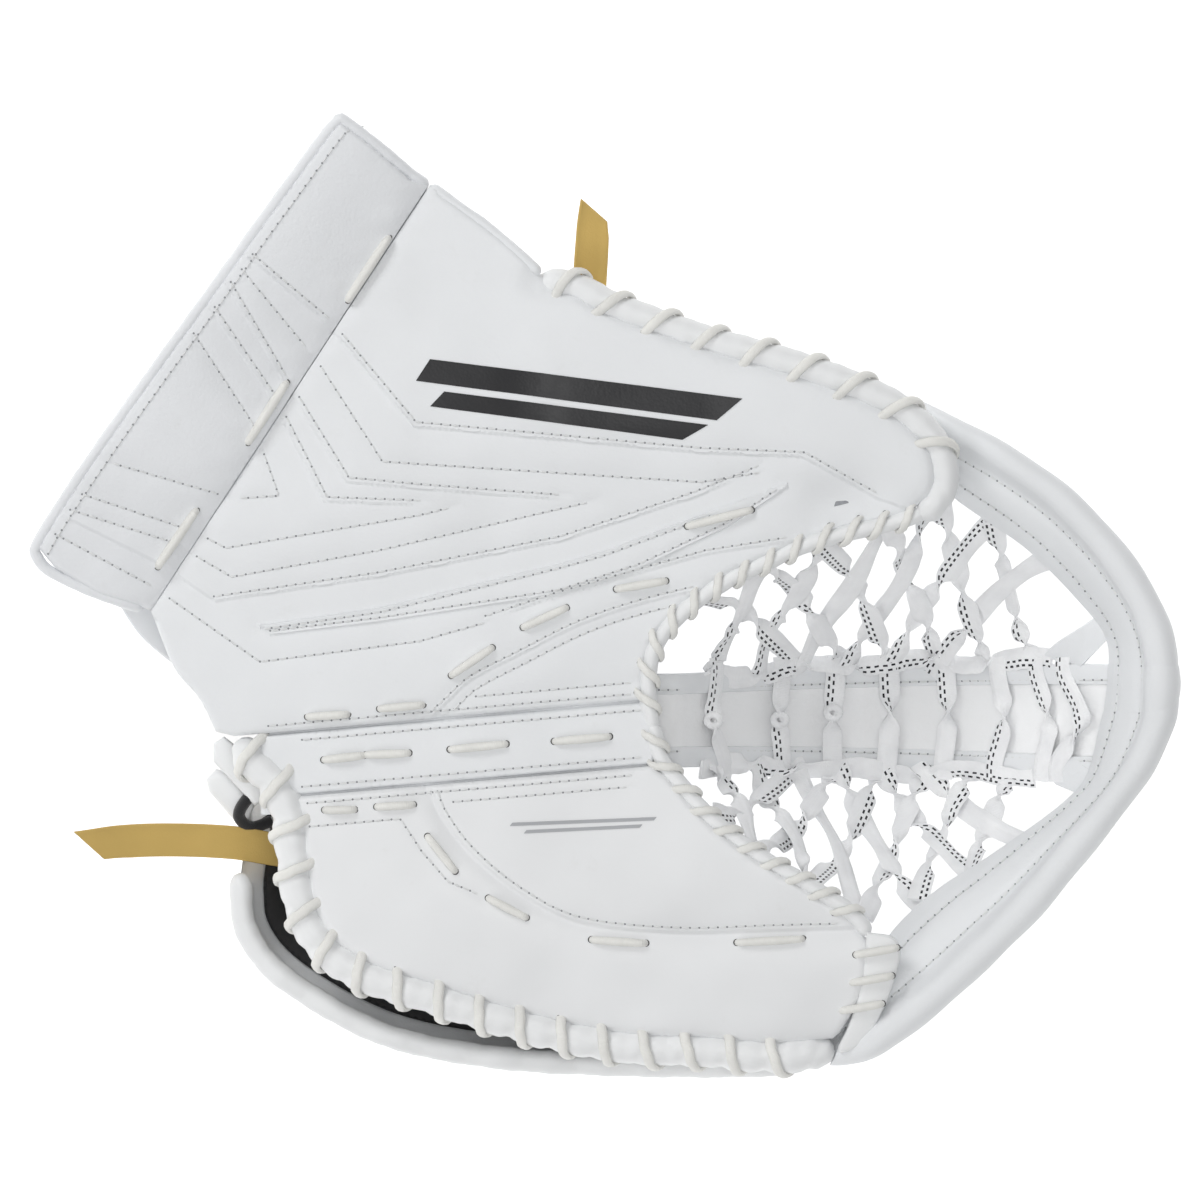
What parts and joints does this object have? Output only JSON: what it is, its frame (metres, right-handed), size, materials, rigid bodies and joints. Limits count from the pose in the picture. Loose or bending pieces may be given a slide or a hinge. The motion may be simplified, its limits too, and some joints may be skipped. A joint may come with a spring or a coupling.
{
  "type": "goalie catch glove",
  "caption": "Ice hockey goalie's catch glove for the left hand, open and palm up, with a laced web pocket, a folding break, a stitched cuff and welted laced edges.",
  "frame": {"origin": "centre of the glove's bounding box, on the ground that its back rests on", "axes": "+X from the wrist to the fingertips, +Y from the fingers to the thumb, +Z out of the palm"},
  "size_m": [0.4039, 0.342, 0.0957],
  "materials": {
    "white_leather": "satin grained",
    "shade_leather": "satin grained",
    "lace": "waxed woven",
    "liner": "matt",
    "elastic": "braided",
    "foam": "matt foam",
    "stiffener": "matt",
    "tan_strap": "suede",
    "nickel_wire": "polished"
  },
  "bodies": {
    "finger_side": {"finger_palm_panel": "white_leather", "palm_shield": "white_leather", "finger_foam": "foam", "finger_board": "stiffener", "palm_liner": "liner", "index_stall": "liner", "middle_stall": "liner", "ring_stall": "liner", "little_stall": "liner", "backhand_pad": "foam", "finger_back_casing": "white_leather", "casing_rolled_edge": "white_leather", "finger_edge_welt": "white_leather", "finger_edge_lace": "lace", "pocket_finger_welt": "white_leather", "pocket_finger_lace": "lace", "finger_end_welt": "white_leather", "web_net_lower": "lace", "rim_lower": "white_leather", "heel_tab": "white_leather", "heel_strap_loop": "white_leather", "elastic_loop": "elastic", "hand_strap_keeper": "nickel_wire"},
    "t_trap": {"break_strip": "shade_leather", "break_lace": "lace", "pocket_band": "white_leather", "pocket_band_binding_upper": "white_leather", "pocket_band_binding_lower": "white_leather", "rim_crest": "white_leather", "lace_column_1": "lace", "lace_column_2": "lace", "lace_column_3": "lace", "lace_column_4": "lace", "lace_column_5": "lace", "lace_column_6": "lace", "lace_column_7": "lace", "lace_column_8": "lace"},
    "thumb_side": {"thumb_palm_panel": "white_leather", "thumb_chevron_overlay": "white_leather", "thumb_arrow_overlay": "white_leather", "thumb_foam": "foam", "thumb_board": "stiffener", "thumb_stall": "liner", "thumb_back_pad": "foam", "thumb_back_casing": "white_leather", "thumb_edge_welt": "white_leather", "thumb_edge_lace": "lace", "pocket_thumb_welt": "white_leather", "pocket_thumb_lace": "lace", "web_net_upper": "lace", "rim_upper": "white_leather", "cuff_lace": "lace", "wrist_strap": "shade_leather", "thumb_strap_keeper": "nickel_wire"},
    "cuff": {"cuff_panel": "shade_leather", "cuff_foam": "foam", "cuff_liner": "liner", "cuff_binding": "white_leather"},
    "hand_strap": {"hand_strap": "tan_strap"},
    "thumb_strap": {"thumb_strap": "tan_strap"}
  },
  "joints": [
    {"name": "finger_fold", "type": "hinge", "parent": "finger_side", "child": "t_trap", "pos_m": [-0.06, -0.0653, 0.062], "axis": [0.9901, 0.0891, 0.1089], "range_deg": [0, 30]},
    {"name": "thumb_fold", "type": "hinge", "parent": "t_trap", "child": "thumb_side", "pos_m": [-0.06, -0.0426, 0.062], "axis": [0.9901, 0.0891, 0.1089], "range_deg": [0, 30]},
    {"name": "cuff_flex", "type": "hinge", "parent": "thumb_side", "child": "cuff", "pos_m": [-0.11, 0.071, 0.06312], "axis": [0.5513, 0.827, 0.1101], "range_deg": [-8, 12], "stiffness_Nm_per_rad": 0.5},
    {"name": "hand_strap_slide", "type": "slide", "parent": "finger_side", "child": "hand_strap", "axis": [-0.9903, 0.1386, 0], "range_m": [-0.008, 0.008]},
    {"name": "thumb_strap_slide", "type": "slide", "parent": "thumb_side", "child": "thumb_strap", "axis": [0.0599, 0.9387, 0.3395], "range_m": [-0.006, 0.006]}
  ],
  "couplings": [
    {"joint": "finger_fold", "follows": "thumb_fold", "ratio": 1}
  ]
}
